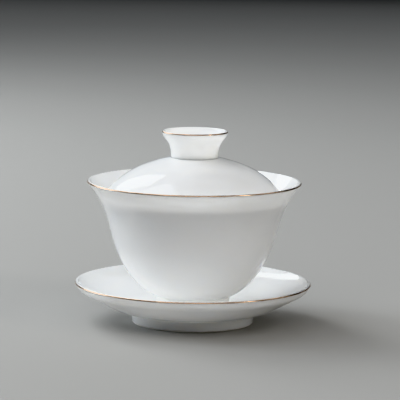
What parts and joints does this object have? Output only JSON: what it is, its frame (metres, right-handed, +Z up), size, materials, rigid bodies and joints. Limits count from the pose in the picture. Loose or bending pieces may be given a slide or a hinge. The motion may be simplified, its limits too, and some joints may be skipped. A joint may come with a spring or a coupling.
{
  "type": "gaiwan",
  "caption": "White porcelain lidded tea bowl on a footed saucer, with a hollow ring knob on the lid and fine gold rim lines.",
  "frame": {"origin": "on the turning axis, at the level of the saucer's foot ring base", "axes": "+Z up along the common turning axis of saucer, bowl and lid; X and Y are equivalent, because every piece is turned about Z"},
  "size_m": [0.1106, 0.1106, 0.0903],
  "materials": {
    "saucer_porcelain": "gloss",
    "gold": "polished",
    "bowl_porcelain": "gloss",
    "lid_dome_porcelain": "gloss",
    "lid_knob_porcelain": "gloss"
  },
  "bodies": {
    "saucer": {"saucer": "saucer_porcelain", "saucer_gold_line": "gold"},
    "bowl": {"bowl": "bowl_porcelain", "bowl_gold_line": "gold"},
    "lid": {"lid_dome": "lid_dome_porcelain", "lid_gold_line": "gold", "lid_knob": "lid_knob_porcelain", "knob_gold_line": "gold"}
  },
  "joints": [
    {"name": "bowl_lift", "type": "slide", "parent": "saucer", "child": "bowl", "axis": [0, 0, 1], "range_m": [0, 0.08]},
    {"name": "lid_lift", "type": "slide", "parent": "bowl", "child": "lid", "axis": [0, 0, 1], "range_m": [0, 0.08]}
  ]
}
